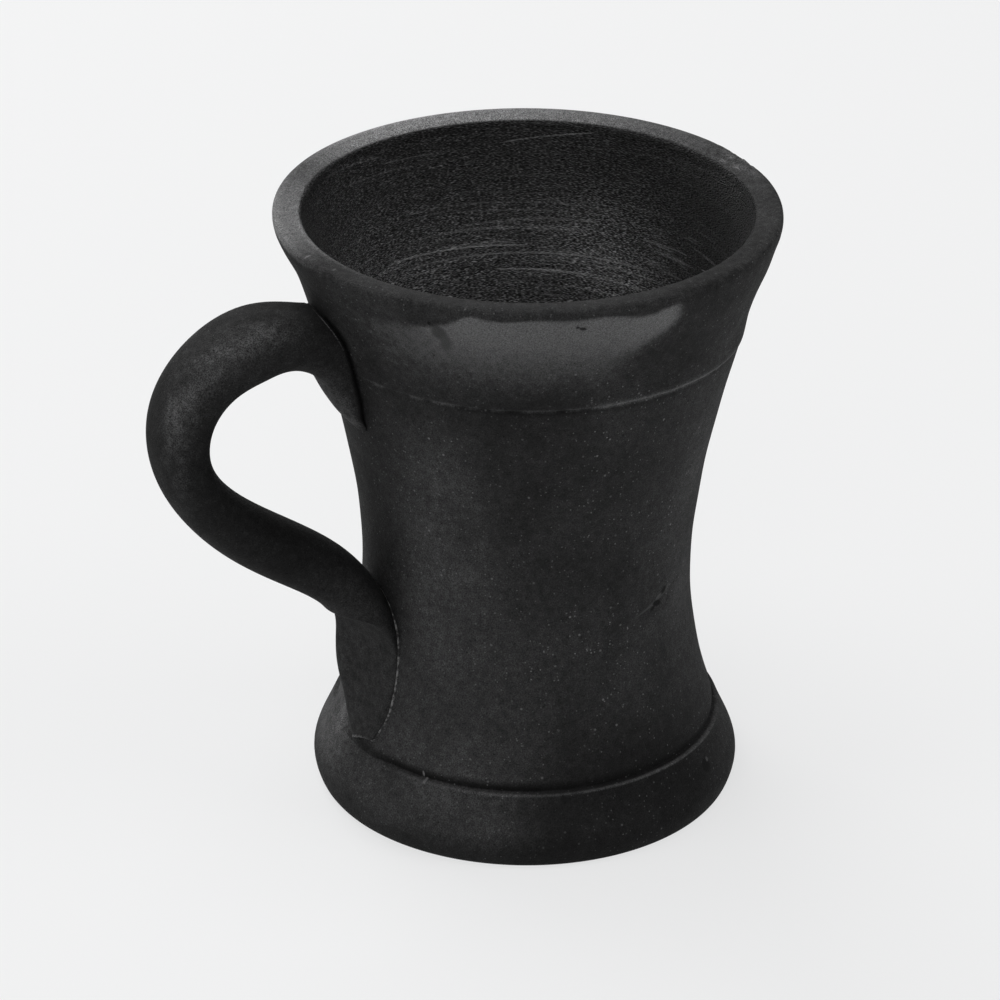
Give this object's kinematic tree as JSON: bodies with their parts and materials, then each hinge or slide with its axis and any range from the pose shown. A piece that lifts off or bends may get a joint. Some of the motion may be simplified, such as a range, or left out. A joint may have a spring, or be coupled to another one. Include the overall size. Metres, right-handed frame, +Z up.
{
  "type": "clay mug",
  "caption": "Hand-thrown black clay mug with a waisted wall, flared rounded rim, banded foot and a pulled S-shaped side handle, for drinking.",
  "frame": {"origin": "middle of the flat base, on the axis of the thrown body", "axes": "+Z up along the thrown body's axis, -X out through the handle, Y across the handle"},
  "size_m": [0.1235, 0.0948, 0.12],
  "materials": {
    "blackened_clay": "smoke-blackened, unglazed, satin where burnished",
    "dried_slip": "fired slip, matt"
  },
  "bodies": {
    "root": {"thrown_body": "blackened_clay", "handle": "blackened_clay", "upper_slip": "dried_slip", "lower_slip": "dried_slip"}
  },
  "joints": []
}
